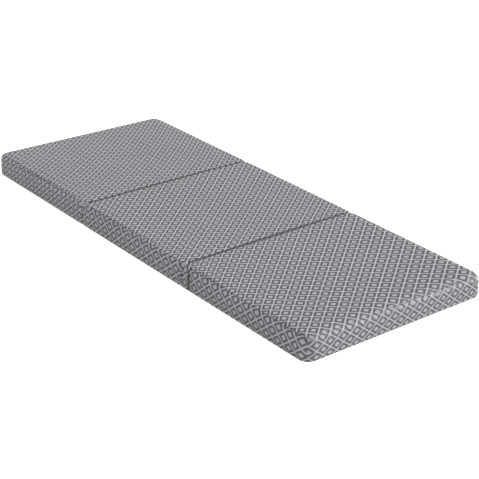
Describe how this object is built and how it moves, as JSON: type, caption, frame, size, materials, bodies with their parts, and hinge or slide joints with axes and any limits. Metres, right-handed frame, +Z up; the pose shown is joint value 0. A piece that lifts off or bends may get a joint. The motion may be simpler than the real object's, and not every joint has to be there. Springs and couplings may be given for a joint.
{
  "type": "trifold foam mattress",
  "caption": "Foam mattress in hinged panels that fold in a Z, each with two foam layers in a liner and a zipped knit cover with a diamond lattice.",
  "frame": {"origin": "on the underside of the middle panel, at its centre", "axes": "+X towards the foot panel's free end, +Y towards the long side with the zips, +Z up from the underside to the sleeping face"},
  "size_m": [1.9, 0.7941, 0.085],
  "materials": {
    "knit_top": "matt two-tone grey jacquard knit",
    "knit_border": "matt two-tone grey jacquard knit",
    "base_cloth": "matt woven cloth",
    "liner_knit": "thin plain knit",
    "soft_foam": "open-cell foam, matt",
    "firm_foam": "open-cell foam, matt",
    "tape_cloth": "plain woven tape",
    "chain_nylon": "nylon coil",
    "zip_metal": "dull grey lacquer",
    "strip_cloth": "plain woven cloth"
  },
  "bodies": {
    "head_panel": {"head_cover_top": "knit_top", "head_cover_border": "knit_border", "head_cover_base": "base_cloth", "head_inner_liner": "liner_knit", "head_comfort_foam": "soft_foam", "head_support_foam": "firm_foam", "head_zip_tape_upper": "tape_cloth", "head_zip_tape_lower": "tape_cloth", "head_zip_chain": "chain_nylon", "head_zip_stop_head_end": "zip_metal", "head_zip_stop_foot_end": "zip_metal"},
    "middle_panel": {"middle_cover_top": "knit_top", "middle_cover_border": "knit_border", "middle_cover_base": "base_cloth", "middle_inner_liner": "liner_knit", "middle_comfort_foam": "soft_foam", "middle_support_foam": "firm_foam", "middle_zip_tape_upper": "tape_cloth", "middle_zip_tape_lower": "tape_cloth", "middle_zip_chain": "chain_nylon", "middle_zip_stop_head_end": "zip_metal", "middle_zip_stop_foot_end": "zip_metal", "head_fold_strip": "strip_cloth", "foot_fold_strip": "strip_cloth"},
    "foot_panel": {"foot_cover_top": "knit_top", "foot_cover_border": "knit_border", "foot_cover_base": "base_cloth", "foot_inner_liner": "liner_knit", "foot_comfort_foam": "soft_foam", "foot_support_foam": "firm_foam", "foot_zip_tape_upper": "tape_cloth", "foot_zip_tape_lower": "tape_cloth", "foot_zip_chain": "chain_nylon", "foot_zip_stop_head_end": "zip_metal", "foot_zip_stop_foot_end": "zip_metal"},
    "head_slider": {"head_zip_slider": "zip_metal"},
    "head_pull": {"head_zip_pull": "zip_metal"},
    "middle_slider": {"middle_zip_slider": "zip_metal"},
    "middle_pull": {"middle_zip_pull": "zip_metal"},
    "foot_slider": {"foot_zip_slider": "zip_metal"},
    "foot_pull": {"foot_zip_pull": "zip_metal"}
  },
  "joints": [
    {"name": "head_fold", "type": "hinge", "parent": "middle_panel", "child": "head_panel", "pos_m": [-0.3104, 0, -0.0003], "axis": [0, -1, 0], "range_deg": [0, 180], "deforming": ["head_fold_strip"]},
    {"name": "foot_fold", "type": "hinge", "parent": "middle_panel", "child": "foot_panel", "pos_m": [0.3104, 0, 0.0853], "axis": [0, -1, 0], "range_deg": [0, 180], "deforming": ["foot_fold_strip"]},
    {"name": "head_zip_slide", "type": "slide", "parent": "head_panel", "child": "head_slider", "axis": [-1, 0, 0], "range_m": [0, 0.502]},
    {"name": "head_pull_swing", "type": "hinge", "parent": "head_slider", "child": "head_pull", "pos_m": [-0.3794, 0.3977, 0.0345], "axis": [0, 0, -1], "range_deg": [0, 175]},
    {"name": "middle_zip_slide", "type": "slide", "parent": "middle_panel", "child": "middle_slider", "axis": [-1, 0, 0], "range_m": [0, 0.4828]},
    {"name": "middle_pull_swing", "type": "hinge", "parent": "middle_slider", "child": "middle_pull", "pos_m": [0.2414, 0.3977, 0.0345], "axis": [0, 0, -1], "range_deg": [0, 175]},
    {"name": "foot_zip_slide", "type": "slide", "parent": "foot_panel", "child": "foot_slider", "axis": [-1, 0, 0], "range_m": [0, 0.502]},
    {"name": "foot_pull_swing", "type": "hinge", "parent": "foot_slider", "child": "foot_pull", "pos_m": [0.8814, 0.3977, 0.0345], "axis": [0, 0, -1], "range_deg": [0, 175]}
  ]
}
